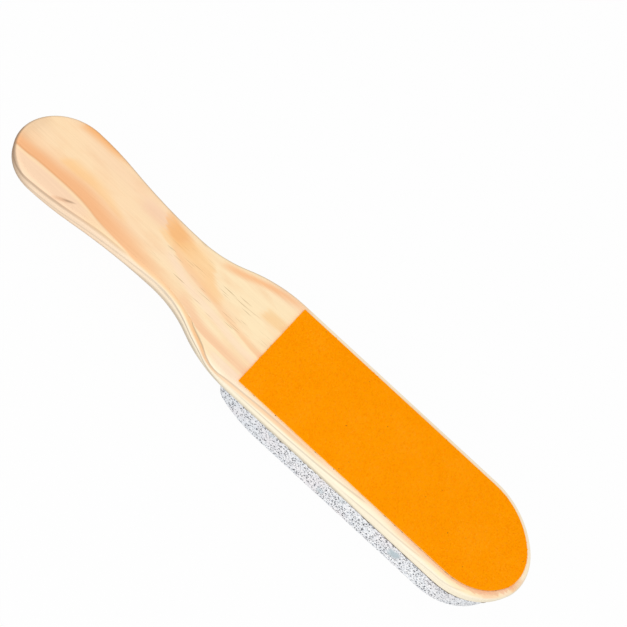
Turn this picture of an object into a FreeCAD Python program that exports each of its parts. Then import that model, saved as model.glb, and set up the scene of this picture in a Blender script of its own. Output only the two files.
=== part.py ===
# Foot file: a pine paddle with a pumice stone glued under its blade and an orange abrasive sheet on top.
# Millimetres, +Z up. X runs along the file, the handle at -X and the tip at +X.
# The origin lies on the stone's working face, midway along the length and the width.

import FreeCAD, Part
import math
import os
import Sketcher

doc = FreeCAD.newDocument("foot_file")

# Driving sizes. "From end" is measured along the file from the end of the handle.
sizes = {
    # pine paddle, plan
    "overall_length": 250.0,
    "paddle_width": 49.5,
    "handle_end_width": 37.6,
    "waist_depth": 4.7,
    "neck_from_end": 75.5,
    "shoulder_length": 45.5,
    # where, on the handle's and the blade's flank of the neck, one arc hands over to the next
    "bulb_arc_share": 0.345,
    "neck_arc_share": 0.45,
    # the tip: how far it reaches past a half circle, and how much tighter its nose is than one
    "tip_reach": 3.6,
    "nose_tuck_share": 0.16,
    # pine paddle, thickness
    "wood_thickness": 6.9,
    "wood_edge_radius": 2.0,
    # pumice stone: its handle end is ahead of the shoulder, and the working face rolls up to it
    "stone_thickness": 12.3,
    "stone_lead": 3.5,
    "stone_margin": 1.0,
    "stone_corner_radius": 5.0,
    "stone_edge_radius": 2.0,
    "stone_roll_length": 24.0,
    "stone_end_height": 4.6,
    # glue between the stone and the wood
    "glue_thickness": 0.2,
    "glue_setback": 1.5,
    # abrasive sheet on the flat of the wood: glue film, paper and grit
    "sheet_lag": 1.0,
    "sheet_inset": 1.0,
    "film_thickness": 0.1,
    "film_setback": 0.4,
    "backing_thickness": 0.35,
    "grit_thickness": 0.35,
    # how far a cut runs past what it cuts
    "cut_overrun": 4.0,
}

sheet = doc.addObject("Spreadsheet::Sheet", "Sizes")
for row, (alias, number) in enumerate(sizes.items(), start=1):
    sheet.set("A%d" % row, alias)
    sheet.set("B%d" % row, str(number))
    sheet.setAlias("B%d" % row, alias)
doc.recompute()

# Places that several pieces share
blade_half = "Sizes.paddle_width / 2"
blade_from_end = "(Sizes.neck_from_end + Sizes.shoulder_length)"
tip_length = "(%s + Sizes.tip_reach)" % blade_half
nose_radius = "(%s * (1 - Sizes.nose_tuck_share))" % blade_half
nose_run = "(%s - %s)" % (tip_length, nose_radius)
cheek_radius = "((%s^2 + (%s)^2 - %s^2) / (%s * Sizes.nose_tuck_share) / 2)" % (
    nose_run,
    blade_half,
    nose_radius,
    blade_half,
)
cheek_spread = "(%s - %s)" % (cheek_radius, nose_radius)
stone_start = "(%s - Sizes.stone_lead)" % blade_from_end
sheet_start = "(%s + Sizes.sheet_lag)" % blade_from_end
sheet_margin = "(Sizes.wood_edge_radius + Sizes.sheet_inset)"

# The level of each layer's underside
glue_level = "Sizes.stone_thickness"
wood_level = glue_level + " + Sizes.glue_thickness"
film_level = wood_level + " + Sizes.wood_thickness"
backing_level = film_level + " + Sizes.film_thickness"
grit_level = backing_level + " + Sizes.backing_thickness"


def value(expression):
    return float(sheet.evalExpression(expression))


def part_way(first, last, share):
    # the point a share of the way from one outline point to another
    return tuple("(%s) + (%s - (%s)) * %s" % (a, b, a, share) for a, b in zip(first, last))


def origin_plane(body, role):
    return next(feature for feature in body.Origin.OriginFeatures if feature.Role == role)


def new_body(label):
    body = doc.addObject("PartDesign::Body", label)
    body.Label = label
    return body


def new_sketch(body, name, role, level):
    # a sketch counts its X from the end of the handle
    sketch = body.newObject("Sketcher::SketchObject", name)
    sketch.AttachmentSupport = [(origin_plane(body, role), "")]
    sketch.MapMode = "FlatFace"
    sketch.setExpression("AttachmentOffset.Base.x", "-Sizes.overall_length / 2")
    sketch.setExpression("AttachmentOffset.Base.z", level)
    return sketch


def arc_centre(start, finish, over):
    # on the sketch's X axis, or straight above or below the point that it stands over
    chord = finish - start
    middle = start + chord / 2
    if over is None:
        return FreeCAD.Vector(middle.x + middle.y * chord.y / chord.x, 0, 0)
    return FreeCAD.Vector(over.x, middle.y + (middle.x - over.x) * chord.x / chord.y, 0)


def short_arc(start, finish, centre):
    # a sketch's arcs run counter-clockwise, so an outline may meet one at either end first
    forward = (start - centre).cross(finish - centre).z > 0
    ends = (start, finish) if forward else (finish, start)
    angles = [math.atan2(point.y - centre.y, point.x - centre.x) for point in ends]
    if angles[1] < angles[0]:
        angles[1] += math.tau
    circle = Part.Circle(centre, FreeCAD.Vector(0, 0, 1), (start - centre).Length)
    return Part.ArcOfCircle(circle, *angles), forward


def bind(sketch, kind, name, expression, *ends):
    index = sketch.addConstraint(Sketcher.Constraint(kind, *ends, value(expression)))
    sketch.renameConstraint(index, name)
    sketch.setExpression("Constraints." + name, expression)


def draw_outline(sketch, points, arcs):
    # points: name to X and Y, in order round the outline
    # arcs: the point that an arc leads to, and the point its centre stands over, or None for the X axis
    # a sketch numbers a curve's start 1, its end 2 and its centre 3, and its own X axis and origin are -1
    names = list(points)
    places = {name: FreeCAD.Vector(value(x), value(y), 0) for name, (x, y) in points.items()}
    ends = {name: [] for name in names}
    for before, name in zip(names[-1:] + names[:-1], names):
        start, finish = places[before], places[name]
        curve, forward = Part.LineSegment(start, finish), True
        if name in arcs:
            curve, forward = short_arc(start, finish, arc_centre(start, finish, places.get(arcs[name])))
        index = sketch.addGeometry(curve)
        ends[before].append((index, 1 if forward else 2))
        ends[name].append((index, 2 if forward else 1))
        if name in arcs and arcs[name] is None:
            sketch.addConstraint(Sketcher.Constraint("PointOnObject", index, 3, -1))
        elif name in arcs:
            under = next(end for end in ends[arcs[name]] if end[0] == index)
            sketch.addConstraint(Sketcher.Constraint("Vertical", index, 3, *under))
    for name, (one, other) in ends.items():
        sketch.addConstraint(Sketcher.Constraint("Coincident", *one, *other))
        for axis, expression in zip("XY", points[name]):
            bind(sketch, "Distance" + axis, name + "_" + axis.lower(), expression, -1, 1, *one)


def mirrored_pad(body, sketch, thickness):
    # one half of the outline, padded, and its mirror image across the file's long axis
    half = body.newObject("PartDesign::Pad", body.Label + "_half")
    half.Profile = sketch
    half.setExpression("Length", thickness)
    doc.recompute()
    whole = body.newObject("PartDesign::Mirrored", body.Label + "_whole")
    whole.Originals = [half]
    whole.MirrorPlane = (origin_plane(body, "XZ_Plane"), [""])
    whole.Refine = True
    body.Tip = whole
    doc.recompute()
    return whole


def rounded(body, base, name, wanted, radius):
    edges = ["Edge%d" % number for number, edge in enumerate(base.Shape.Edges, start=1) if wanted(edge)]
    fillet = body.newObject("PartDesign::Fillet", body.Label + "_" + name)
    fillet.Base = (base, edges)
    fillet.setExpression("Radius", radius)
    body.Tip = fillet
    doc.recompute()
    return fillet


def heights(edge):
    return [vertex.Z for vertex in edge.Vertexes]


def is_level(edge):
    return max(heights(edge)) - min(heights(edge)) < edge.Tolerance


# The blade's tip: a large arc from the straight side, then a smaller one round the nose
tip_arcs = {"nose": "cheek", "tip": None}


def tip_points(margin):
    nose_left = "(%s - %s)" % (nose_radius, margin)
    nose_centre = "Sizes.overall_length - %s" % nose_radius
    return {
        "cheek": ("Sizes.overall_length - %s" % tip_length, "%s - %s" % (blade_half, margin)),
        "nose": (
            "%s + %s * %s / %s" % (nose_centre, nose_left, nose_run, cheek_spread),
            "%s * (%s - %s) / %s" % (nose_left, cheek_radius, blade_half, cheek_spread),
        ),
        "tip": ("Sizes.overall_length - %s" % margin, "0"),
    }


def blade_sketch(body, name, start, margin, level):
    # the blade's outline, drawn in by a margin, with a straight end across the file
    points = {
        "start": (start, "0"),
        "corner": (start, "%s - %s" % (blade_half, margin)),
    }
    points.update(tip_points(margin))
    sketch = new_sketch(body, name, "XY_Plane", level)
    draw_outline(sketch, points, tip_arcs)
    return sketch


# The pine paddle: round handle end, neck, shoulders, straight blade sides and an egg-shaped tip
def build_wooden_paddle():
    body = new_body("wooden_paddle")
    bulb = ("Sizes.handle_end_width / 2", "Sizes.handle_end_width / 2")
    neck = ("Sizes.neck_from_end", "Sizes.handle_end_width / 2 - Sizes.waist_depth")
    shoulder = (blade_from_end, blade_half)
    points = {
        "handle_end": ("0", "0"),
        "bulb": bulb,
        "bulb_turn": part_way(bulb, neck, "Sizes.bulb_arc_share"),
        "neck": neck,
        "neck_turn": part_way(neck, shoulder, "Sizes.neck_arc_share"),
        "shoulder": shoulder,
    }
    points.update(tip_points("0"))
    arcs = {
        "bulb": None,
        "bulb_turn": "bulb",
        "neck": "neck",
        "neck_turn": "neck",
        "shoulder": "shoulder",
    }
    arcs.update(tip_arcs)
    sketch = new_sketch(body, "paddle_outline", "XY_Plane", wood_level)
    draw_outline(sketch, points, arcs)
    board = mirrored_pad(body, sketch, "Sizes.wood_thickness")
    rounded(body, board, "round_over", is_level, "Sizes.wood_edge_radius")
    return body


# The pumice stone: a slab with the blade's outline, its working face rolled up towards the handle
def build_pumice_stone():
    body = new_body("pumice_stone")
    sketch = blade_sketch(body, "stone_outline", stone_start, "Sizes.stone_margin", "0")
    slab = mirrored_pad(body, sketch, "Sizes.stone_thickness")

    def is_end_corner(edge):
        reach = max(vertex.X for vertex in edge.Vertexes) - slab.Shape.BoundBox.XMin
        return not is_level(edge) and reach < edge.Length

    rounded(body, slab, "corners", is_end_corner, "Sizes.stone_corner_radius")

    roll_start = stone_start + " + Sizes.stone_roll_length"
    roll_height = "Sizes.stone_thickness - Sizes.stone_end_height"
    outside = stone_start + " - Sizes.cut_overrun"
    points = {
        "roll_start": (roll_start, "0"),
        "roll_end": (stone_start, roll_height),
        "outside_top": (outside, roll_height),
        "outside_bottom": (outside, "-Sizes.cut_overrun"),
        "inside_bottom": (roll_start, "-Sizes.cut_overrun"),
    }
    roll_sketch = new_sketch(body, "roll_outline", "XZ_Plane", "0")
    draw_outline(roll_sketch, points, {"roll_end": "roll_start"})
    roll = body.newObject("PartDesign::Pocket", "stone_roll")
    roll.Profile = roll_sketch
    roll.Type = "ThroughAll"
    roll.Midplane = True
    body.Tip = roll
    doc.recompute()

    def is_working_edge(edge):
        low = max(heights(edge)) < roll.Shape.BoundBox.ZMax - edge.Tolerance
        across = abs(edge.Vertexes[0].X - edge.Vertexes[-1].X) < edge.Tolerance
        roll_seam = across and max(heights(edge)) < edge.Tolerance
        return low and not roll_seam

    rounded(body, roll, "working_edges", is_working_edge, "Sizes.stone_edge_radius")
    return body


# A flat layer with the blade's outline
def build_layer(label, start, margin, level, thickness):
    body = new_body(label)
    sketch = blade_sketch(body, label + "_outline", start, margin, level)
    mirrored_pad(body, sketch, thickness)
    return body


def build_stone_glue_bed():
    start = "(%s + Sizes.glue_setback)" % stone_start
    margin = "(Sizes.stone_margin + Sizes.glue_setback)"
    return build_layer("stone_glue_bed", start, margin, glue_level, "Sizes.glue_thickness")


def build_sheet_glue_film():
    start = "(%s + Sizes.film_setback)" % sheet_start
    margin = "(%s + Sizes.film_setback)" % sheet_margin
    return build_layer("sheet_glue_film", start, margin, film_level, "Sizes.film_thickness")


def build_sheet_backing():
    return build_layer("sheet_backing", sheet_start, sheet_margin, backing_level, "Sizes.backing_thickness")


def build_grit_coat():
    return build_layer("grit_coat", sheet_start, sheet_margin, grit_level, "Sizes.grit_thickness")


nodes = [
    build_pumice_stone(),
    build_stone_glue_bed(),
    build_wooden_paddle(),
    build_sheet_glue_film(),
    build_sheet_backing(),
    build_grit_coat(),
]
doc.recompute()

# Nothing is written unless every feature came out sound
for item in doc.Objects:
    if "Invalid" in item.State or "Error" in item.State:
        raise RuntimeError("%s failed: %s" % (item.Name, item.State))
for node in nodes:
    if node.Shape.isNull() or not node.Shape.isValid() or len(node.Shape.Solids) != 1:
        raise RuntimeError("%s isn't one sound solid" % node.Label)

os.makedirs("parts", exist_ok=True)
for node in nodes:
    node.Shape.exportStep("parts/%s.step" % node.Label)
    box = node.Shape.optimalBoundingBox()
    print("%-16s %8.1f mm3, Z %5.2f to %5.2f" % (node.Label, node.Shape.Volume, box.ZMin, box.ZMax))
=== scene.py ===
# Foot file lying on its pumice stone, orange abrasive sheet up.
# Metres, in the part's own frame: X along the file, handle at -X, Z up from the stone's working face.
import bmesh
import bpy
import math
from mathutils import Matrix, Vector, noise


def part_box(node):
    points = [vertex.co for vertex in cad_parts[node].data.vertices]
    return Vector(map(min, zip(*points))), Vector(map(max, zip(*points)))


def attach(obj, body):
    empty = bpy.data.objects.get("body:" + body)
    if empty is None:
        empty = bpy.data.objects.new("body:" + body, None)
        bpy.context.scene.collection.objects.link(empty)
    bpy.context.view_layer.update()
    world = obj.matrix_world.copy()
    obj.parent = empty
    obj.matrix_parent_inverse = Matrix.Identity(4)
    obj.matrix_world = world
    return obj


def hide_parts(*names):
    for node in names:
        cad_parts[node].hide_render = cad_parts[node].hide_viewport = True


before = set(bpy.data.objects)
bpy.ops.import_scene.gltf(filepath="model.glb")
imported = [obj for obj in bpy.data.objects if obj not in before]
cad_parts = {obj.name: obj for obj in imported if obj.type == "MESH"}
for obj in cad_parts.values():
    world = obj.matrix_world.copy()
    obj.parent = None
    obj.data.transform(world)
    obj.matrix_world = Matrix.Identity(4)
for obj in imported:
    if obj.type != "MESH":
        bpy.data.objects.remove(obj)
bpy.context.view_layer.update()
scene = bpy.context.scene
scene.view_settings.view_transform = "Standard"
mm = 0.001
weldDistance = 0.002 * mm
noiseSpan = (0.3, 0.7)  # nearly all of a noise lies in it
fromSpan, toSpan = ("From Min", "From Max"), ("To Min", "To Max")  # inputs set in pairs
print("frame loaded:", ", ".join(sorted(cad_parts)))


def linear(hexColour):  # sRGB hex to linear RGBA
    channels = [int(hexColour[i:i + 2], 16) / 255 for i in (1, 3, 5)]
    return [c / 12.92 if c <= 0.04045 else ((c + 0.055) / 1.055) ** 2.4 for c in channels] + [1.0]


def setInputs(tree, node, inputs):
    # an input is a plain value, a socket to link from, a node that stands for its first output,
    # or a list of sockets and nodes; two inputs named together take a pair
    for name, source in inputs.items():
        if isinstance(name, tuple):
            setInputs(tree, node, dict(zip(name, source)))
            continue
        for each in source if isinstance(source, list) else [source]:
            if isinstance(each, bpy.types.Node):
                each = each.outputs[0]
            if isinstance(each, bpy.types.NodeSocket):
                tree.links.new(each, node.inputs[name])
            else:
                node.inputs[name].default_value = source


def addNode(tree, kind, inputs=None, stops=None, curve=None, **settings):
    # a kind without its family is a shader node's; stops go to a colour ramp, curve to a float curve
    node = tree.nodes.new(kind if "Node" in kind else "ShaderNode" + kind)
    for name, setting in settings.items():
        setattr(node, name, setting)
    setInputs(tree, node, inputs or {})
    if stops:
        elements = node.color_ramp.elements
        while len(elements) < len(stops):
            elements.new(1.0)
        for element, (position, colour) in zip(elements, stops):
            element.position = position
            element.color = colour
    if curve:
        points = node.mapping.curves[0].points
        while len(points) < len(curve):
            points.new(0.5, 0.5)
        for point, place in zip(points, sorted(curve)):
            point.location = place
        node.mapping.update()
    return node


def paint(tree, colour, layers):
    # lays each layer, a tone and the factors of its share, over the colour; colour and tones are hex or
    # sockets. A colour mix takes the lower colour at input 6, the upper at 7, and gives output 2.
    for tone, share, *factors in layers:
        for factor in factors:
            share = addNode(tree, "Math", {0: share, 1: factor}, operation="MULTIPLY")
        lower, upper = [linear(each) if isinstance(each, str) else each for each in (colour, tone)]
        mix = addNode(tree, "Mix", {0: share, 6: lower, 7: upper}, data_type="RGBA")
        colour = mix.outputs[2]
    return colour


def newMaterial(name):
    material = bpy.data.materials.new(name)
    material.use_nodes = True
    tree = material.node_tree
    return material, tree, tree.nodes["Principled BSDF"]


def dress(node, material):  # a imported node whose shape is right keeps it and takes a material
    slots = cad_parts[node].data.materials
    slots.clear()
    slots.append(material)


def plainCopy(node, name):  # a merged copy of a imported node's loose triangles, as a piece of its own
    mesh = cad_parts[node].data.copy()
    mesh.materials.clear()
    work = bmesh.new()
    work.from_mesh(mesh)
    bmesh.ops.remove_doubles(work, verts=work.verts, dist=weldDistance)
    work.to_mesh(mesh)
    work.free()
    piece = bpy.data.objects.new(name, mesh)
    scene.collection.objects.link(piece)
    return piece


def settle(piece):  # the evaluated mesh takes the place of the mesh and its modifiers
    graph = bpy.context.evaluated_depsgraph_get()
    mesh = bpy.data.meshes.new_from_object(piece.evaluated_get(graph))
    piece.modifiers.clear()
    piece.data = mesh


def newGrowth(name, *labels):
    # a geometry tree with named inputs and a material, and the identifiers to set them by
    kinds = {"Seed": "NodeSocketInt", "Material": "NodeSocketMaterial"}
    tree = bpy.data.node_groups.new(name, "GeometryNodeTree")
    tree.interface.new_socket(name="Geometry", in_out="INPUT", socket_type="NodeSocketGeometry")
    identifiers = {}
    for label in labels + ("Material",):
        kind = kinds.get(label, "NodeSocketFloat")
        socket = tree.interface.new_socket(name=label, in_out="INPUT", socket_type=kind)
        identifiers[label] = socket.identifier
    tree.interface.new_socket(name="Geometry", in_out="OUTPUT", socket_type="NodeSocketGeometry")
    return tree, addNode(tree, "NodeGroupInput").outputs, identifiers


def endGrowth(tree, geometry, material):  # real mesh with its material, because the export drops instances
    whole = addNode(tree, "GeometryNodeRealizeInstances", {0: geometry})
    dressed = addNode(tree, "GeometryNodeSetMaterial", {"Geometry": whole, "Material": material})
    addNode(tree, "NodeGroupOutput", {0: dressed})


def grow(piece, growth, settings, material):
    # each named input takes the setting whose key is that name written as one word
    tree, identifiers = growth
    modifier = piece.modifiers.new(tree.name, "NODES")
    modifier.node_group = tree
    for label, identifier in identifiers.items():
        key = label[0].lower() + label[1:].replace(" ", "")
        modifier[identifier] = material if label == "Material" else settings[key]
    settle(piece)


def fit(piece, node):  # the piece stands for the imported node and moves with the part
    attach(piece, "root")
    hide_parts(node)
    triangles = sum(len(face.vertices) - 2 for face in piece.data.polygons)
    print(piece.name, "made:", triangles, "triangles")


# camera at the photograph's viewing angle
view = {
    "place": (0.243, -193.755, 296.389),  # mm
    "turn": (29.983, -24.751, 35.903),  # degrees, XYZ
    "lens": 52.5,
    "sensor": 36.0,
    "clipStart": 10 * mm,
}
cameraData = bpy.data.cameras.new("camera")
cameraData.lens = view["lens"]
cameraData.sensor_width = view["sensor"]
cameraData.clip_start = view["clipStart"]
camera = bpy.data.objects.new("camera", cameraData)
camera.location = Vector(view["place"]) * mm
camera.rotation_euler = [math.radians(angle) for angle in view["turn"]]
scene.collection.objects.link(camera)
scene.camera = camera
print("camera placed")

# wooden paddle, mm
woodLow, woodHigh = [[side / mm for side in corner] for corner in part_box("wooden_paddle")]
pine = {
    "early": "#fddcb2",
    "cream": "#fee6bd",
    "warm": "#f7c596",
    "pink": "#fad3b2",
    "edgeHandle": "#f3d8bb",
    "edgeBlade": "#f9eed5",
    "edgeLate": "#f6d9b4",
    "ringLine": "#a08a70",
    # painted shade on the lower rounding and the lower part of the edges
    "lowerShade": "#82786c",
    # end grain, and painted shade on the handle's rounded end
    "endGrainAndShade": "#94765c",
    "endLate": "#77593f",
    # painted shade on the upper rounding of the handle's far side and end
    "rim": "#a58f7a",
    "fleck": "#a88a62",
    "edgeRadius": 2.0,
    # which side a point is on: the part of its normal at which the side starts, and at which it is full
    "wall": (0.9, 0.4),
    "onTop": (0.3, 0.6),
    "onUnder": (-0.5, -0.8),
    "onNear": (-0.02, -0.15),
    # slow waves, fibres, soft blotches and resin ducts: size along X, Y and Z, detail
    "noises": {
        "slow": ((40, 9, 9), 2.0),
        "fibre": ((25, 0.5, 0.5), 3.0),
        "warm": ((14, 5, 5), 4.0),
        "pink": ((45, 14, 14), 1.0),
        "fleck": ((6.5, 0.4, 0.4), 0.0),
    },
    "slowReach": (-0.3, 0.3),  # how far the slow waves bend a line
    "ragged": 5.0,  # how far the fibres pull a patch's ends apart
    "streak": (0.97, 1.02),  # how much the fibres darken and brighten
    # blotches: the noise at which one starts, at which it is full, and its share there
    "tints": {"warm": ((0.48, 0.75), 0.4), "pink": ((0.45, 0.75), 0.5)},
    "creamShare": [(-125, 0.15), (-100, 0.1), (-70, 0.2), (-52, 0.75), (-30, 1)],
    # the ranges within which lines along the file are drawn
    "edgeRange": (-30, 30),
    "widthRange": (0, 40),
    "depthRange": (24, 44),
    "lowerShadeRange": (14, 18),
    # strokes: lower edge, width and share, the same all along or given at places along X; fade is the
    # part of the width over which each edge softens
    "topStrokes": [
        # late wood that lies flat down the handle, with a brown lower border
        {"colour": "#f6b986", "fade": (0.08, 0.75),
         "edge": [(-125, -10.5), (-118, -11.6), (-110, -11), (-100, -10.6), (-92, -10.6), (-86, -11.2),
                  (-80, -12.3), (-72, -13), (-65, -13.6), (-55, -14.5), (-45, -15)],
         "width": [(-125, 8), (-110, 9), (-104, 9), (-98, 10.5), (-92, 11.5), (-78, 11.5), (-60, 10),
                   (-40, 8)],
         "share": [(-110, 1), (-80, 0.95), (-70, 0.85), (-60, 0.75), (-50, 0.55), (-42, 0.4), (-36, 0.2),
                   (-28, 0)]},
        {"colour": "#d8945c", "fade": (0.4, 0.5),
         "edge": [(-125, -10.8), (-118, -11.9), (-110, -11.3), (-100, -10.9), (-92, -10.9), (-86, -11.5),
                  (-80, -12.6), (-72, -13.3)], "width": 1.6,
         "share": [(-105, 0.4), (-90, 0.35), (-78, 0.25), (-68, 0)]},
        {"colour": "#fdc98a", "fade": (0.3, 0.6),
         "edge": [(-106, -5), (-100, -5), (-90, -4), (-80, -5), (-72, -6)],
         "width": [(-106, 5), (-102, 8.5), (-97, 8), (-90, 7), (-84, 6.5), (-78, 5), (-70, 4)],
         "share": [(-108, 0), (-103, 0.65), (-97, 0.65), (-88, 0.5), (-80, 0.4), (-74, 0.2), (-68, 0)]},
        # the top greyer towards the handle's end
        {"colour": "#d9b48f", "fade": (0.2, 0.2), "edge": -9.0, "width": 18.0,
         "share": [(-125, 0.4), (-121, 0.25), (-115, 0)]},
        # late wood that the far edge cuts into
        {"colour": "#f8b676", "fade": (0.65, 0.02),
         "edge": [(-118, 9), (-114, 10.6), (-110, 12), (-104, 12.6), (-96, 12.8), (-90, 13.4), (-78, 13.4)],
         "width": 7.0,
         "share": [(-117, 0), (-112, 0.5), (-107, 0.95), (-100, 0.95), (-93, 0.7), (-87, 0.25), (-80, 0)]},
        {"colour": "#fab983", "fade": (0.55, 0.45),
         "edge": [(-42, 8), (-36, 9.3), (-30, 11), (-24, 13.4), (-18, 15.8), (-10, 18), (0, 19.5)],
         "width": 6.0,
         "share": [(-42, 0), (-37, 0.3), (-31, 0.75), (-18, 0.8), (-12, 0.65), (-8, 0.5), (-2, 0.2),
                   (4, 0)]},
        # patches past the neck
        {"colour": "#f6cdb0", "fade": (0.5, 0.4), "edge": 2.0, "width": 11.5,
         "share": [(-80, 0), (-74, 0.35), (-68, 0.6), (-63, 0.5), (-59, 0)]},
        {"colour": "#f8bd80", "fade": (0.28, 0.3),
         "edge": [(-69, 15), (-66, 11), (-63, 7), (-60.5, 4), (-57, 2.6), (-53, 2), (-40, 2)],
         "width": [(-66, 5), (-60, 10), (-53, 10.5), (-49, 9), (-40, 7)],
         "share": [(-69, 0), (-65, 0.35), (-61, 0.85), (-57, 1), (-53, 0.85), (-49, 0.5), (-44, 0.25),
                   (-38, 0.1), (-34, 0)]},
        {"colour": "#fdc888", "fade": (0.25, 0.35),
         "edge": [(-62, 2.5), (-58, 1.5), (-54, 0.5), (-50, -2.5), (-45, -3.5), (-40, -4), (-33, -4.5),
                  (-27, -5)],
         "width": [(-62, 3.5), (-55, 5), (-51, 14), (-45, 17), (-40, 16), (-35, 10), (-28, 7)],
         "share": [(-65, 0), (-60, 0.5), (-50, 0.5), (-40, 0.5), (-34, 0.6), (-28, 0.35), (-21, 0)]},
        {"colour": "#f8c090", "fade": (0.2, 0.7),
         "edge": [(-56, 2), (-52, 0), (-48, -1.5), (-44, -3), (-38, -4), (-32, -4.8), (-24, -6),
                  (-14, -7.8), (-5, -9)],
         "width": [(-56, 3), (-52, 4.5), (-46, 5.5), (-40, 5.5), (-32, 5), (-20, 4.5), (-5, 4.5)],
         "share": [(-57, 0), (-53, 0.4), (-48, 0.4), (-40, 0.4), (-28, 0.4), (-20, 0.4), (-14, 0.55),
                   (-5, 0.65)]},
        {"colour": "#fde0c6", "fade": (0.4, 0.4), "edge": [(-55, -4), (-40, -9), (-25, -11), (-8, -13.5)],
         "width": 5.0, "share": [(-60, 0), (-50, 0.4), (-25, 0.5), (-5, 0.5)]},
        {"colour": "#f6bd94", "fade": (0.12, 0.6),
         "edge": [(-40, -13.5), (-34, -15), (-28, -17.5), (-24, -18.4), (-15, -18.8), (-5, -19)],
         "width": 6.0, "share": [(-44, 0), (-38, 0.4), (-30, 0.6), (-24, 0.65), (-15, 0.65), (-5, 0.5)]},
        {"colour": "#f8c27c", "fade": (0.3, 0.3), "edge": 5.0, "width": 7.5,
         "share": [(-15, 0), (-12.5, 0.35), (-8, 0.45), (-3, 0.4), (3, 0)]},
        # paler and pinker wood along the near edge
        {"colour": "#f7d2b5", "fade": (0.1, 0.1), "edge": -23.0,
         "width": [(-125, 11.5), (-118, 11), (-100, 12.1), (-86, 11.5), (-78, 10)],
         "share": [(-125, 0.3), (-112, 0.6), (-95, 0.6), (-85, 0.4), (-75, 0)]},
        {"colour": "#fde3cc", "fade": (0.1, 0.2), "edge": -26.0, "width": 6.8,
         "share": [(-22, 0), (-16, 0.4), (-5, 0.6), (5, 0)]},
        # the rim of wood round the sheet: painted light on the far side, pale and then pink along the near
        # one
        {"colour": "#ffefd2", "fade": (0.1, 0.02),
         "edge": [(0, 20.8), (95, 20.8), (105, 18), (114, 12), (119, 6), (122, -2), (125, -8)],
         "width": 12.0, "share": [(-4, 0), (4, 0.85)]},
        {"colour": "#fff3dc", "fade": (0.1, 0.2), "edge": -26.0, "width": 5.0,
         "share": [(-8, 0), (2, 0.45), (16, 0.45), (28, 0.25), (36, 0.3), (45, 0.65), (55, 0.45), (65, 0.6),
                   (75, 0.35), (88, 0.2), (98, 0)]},
        {"colour": "#f1b992", "fade": (0.1, 0.3),
         "edge": [(88, -23.7), (105, -21.8), (115, -16.8), (121, -9), (125, -4)], "width": 5.0,
         "share": [(5, 0), (20, 0.12), (38, 0.15), (45, 0.05), (66, 0.05), (76, 0.25), (88, 0.35),
                   (98, 0.45), (112, 0.6), (120, 0.5), (125, 0.2)]},
    ],
    "underStrokes": [
        # one wide band of late wood, paler by the stone
        {"colour": "#f4b87c", "fade": (0.03, 0.03),
         "edge": [(-118, -12), (-105, -11.3), (-92, -10.5), (-80, -11), (-64, -12), (-50, -11.5),
                  (-42, -12.2), (-32, -16), (-22, -19), (-8, -22)],
         "width": [(-125, 20), (-118, 21.5), (-108, 20.6), (-103, 18.7), (-98, 17.1), (-80, 17.2),
                   (-65, 19.1), (-57, 19.4), (-50, 21), (-40, 22.7), (-25, 29.8), (-15, 34.5), (-8, 36.3)],
         "share": 0.9},
        {"colour": "#fad9b6", "fade": (0.35, 0.35), "edge": [(-60, -6), (-40, -8), (-8, -10)],
         "width": [(-60, 8), (-40, 10), (-8, 14)],
         "share": [(-70, 0), (-50, 0.25), (-35, 0.55), (-20, 0.8), (-8, 0.9)]},
        {"colour": "#f0a35c", "fade": (0.5, 0.1),
         "edge": [(-50, 7.4), (-40, 8.4), (-25, 9.6), (-15, 11.6), (-8, 12.1)], "width": 2.4,
         "share": [(-56, 0), (-45, 0.3), (-8, 0.45)]},
        {"colour": "#f0a65e", "fade": (0.1, 0.6), "edge": [(-42, -12.2), (-32, -16), (-22, -19), (-8, -22)],
         "width": 6.0, "share": [(-45, 0), (-30, 0.4), (-8, 0.5)]},
    ],
    # edge and width are measured down the near edge here, from where the upper rounding starts
    "nearStrokes": [
        # a warm band and its brown upper border, past the neck
        {"colour": "#e6ae78", "fade": (0.1, 0.6),
         "edge": [(-60, -1.5), (-45, -0.6), (-30, 0.1), (-22, 0.5), (-17, 1.8), (-13, 2.4), (-6, 1.5),
                  (2, 1), (12, 0.5), (22, 0), (40, -0.6), (60, -1)], "width": 2.1,
         "share": [(-60, 0), (-45, 0.3), (-30, 0.6), (-20, 0.75), (-8, 0.5), (25, 0.45), (40, 0.25),
                   (50, 0.1), (60, 0.05), (70, 0.15), (90, 0.2), (105, 0.1)]},
        {"colour": "#8c6e52", "fade": (0.4, 0.4),
         "edge": [(-45, -1.2), (-30, -0.4), (-22, 0), (-17, 1.3), (-13, 2), (-6, 1), (2, 0.5), (12, 0),
                  (22, -0.5), (40, -1)], "width": 0.9,
         "share": [(-45, 0), (-32, 0.4), (-22, 0.5), (-8, 0.4), (10, 0.32), (30, 0.14), (45, 0)]},
        # a brown line, and the dark handle end: end grain with painted shade over it, on the handle
        {"colour": "#8c6e52", "fade": (0.25, 0.6),
         "edge": [(-118, 2.2), (-112, 2), (-107, 1.6), (-97, 1.2), (-87, 0.9), (-77, 0.7), (-66, 0.8),
                  (-58, 0.6)], "width": 1.9,
         "share": [(-125, 0.5), (-112, 0.52), (-95, 0.5), (-85, 0.38), (-75, 0.34), (-66, 0.26), (-57, 0)]},
        {"colour": "#8a7058", "fade": (0.15, 0.05),
         "edge": [(-125, 0.6), (-118, 0.7), (-112, 1.2), (-106, 2.4)], "width": 8.0,
         "share": [(-125, 0.85), (-118, 0.66), (-112, 0.42), (-107, 0.16), (-102, 0)]},
        # thin grey lines, from the handle to the tip
        {"colour": "#8c8273", "fade": (0.4, 0.4),
         "edge": [(-115, 5.2), (-100, 4.4), (-80, 3.9), (-62, 2.9), (-52, 2), (-42, 1.8), (-35, 2),
                  (-27, 2.4), (-21, 2.8), (-16, 4.4), (-10, 5.4)], "width": 1.3,
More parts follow.
